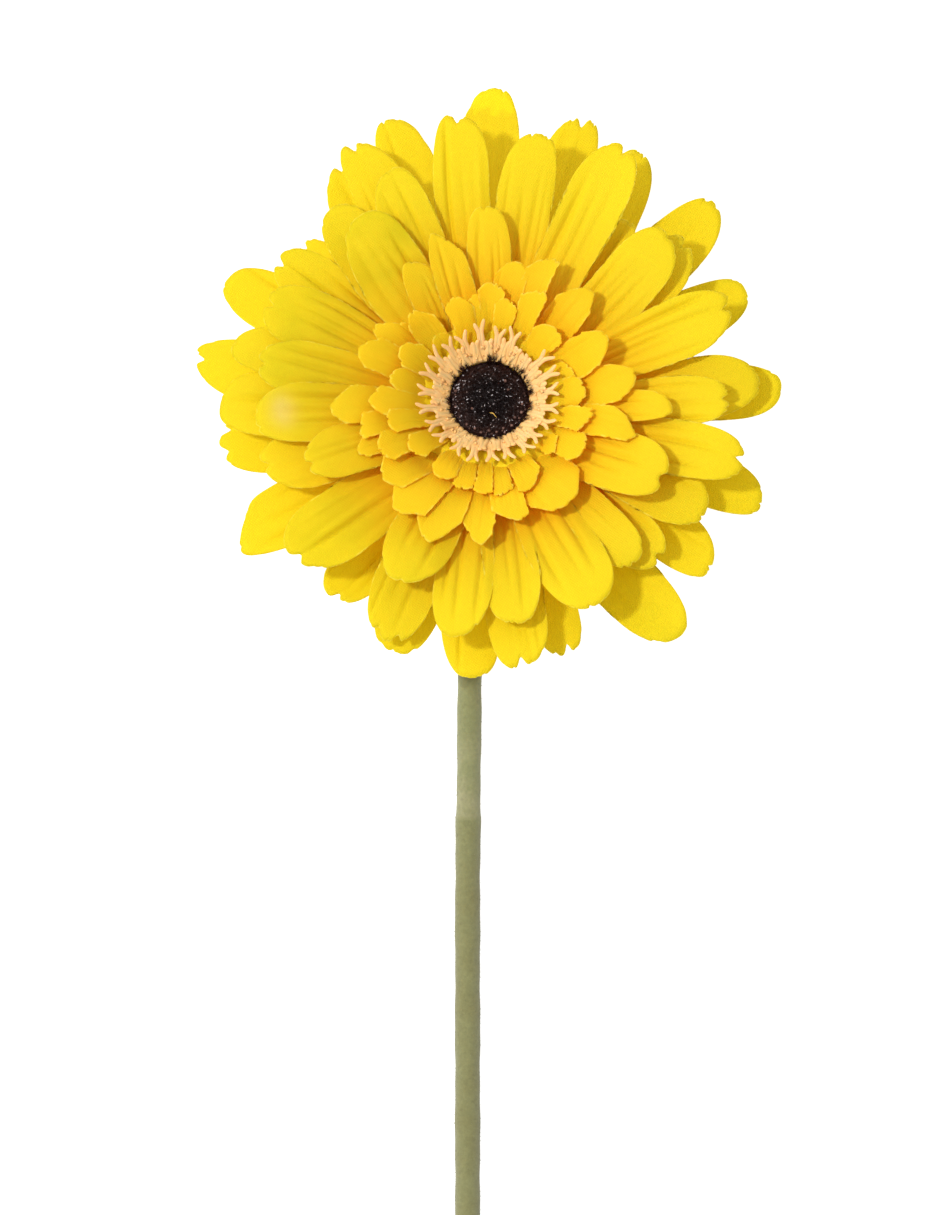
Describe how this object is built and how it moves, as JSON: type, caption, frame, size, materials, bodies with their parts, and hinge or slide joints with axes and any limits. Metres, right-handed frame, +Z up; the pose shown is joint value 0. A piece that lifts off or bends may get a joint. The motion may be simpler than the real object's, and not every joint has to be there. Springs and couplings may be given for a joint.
{
  "type": "gerbera stem",
  "caption": "Single cut gerbera lying face up: layered strap petals round a dark disc with a forked collar, on a long bare stem bent at the neck.",
  "frame": {"origin": "middle of the bounding box, on the table that the flower lies on", "axes": "+Z up from the table; +Y along the lying stem towards the bloom; +X to the right as the face is seen from above"},
  "size_m": [0.1164, 0.4502, 0.0485],
  "materials": {
    "petal": "matte woven cloth, bright yellow, deeper towards the root",
    "disc": "short dark brown flock with pale glints",
    "collar": "soft moulded plastic, pale peach",
    "calyx": "moulded, dull green",
    "stem": "flocked, grey green, paler in patches"
  },
  "bodies": {
    "root": {"petals": "petal", "disc": "disc", "collar": "collar", "calyx": "calyx", "stem": "stem"}
  },
  "joints": []
}
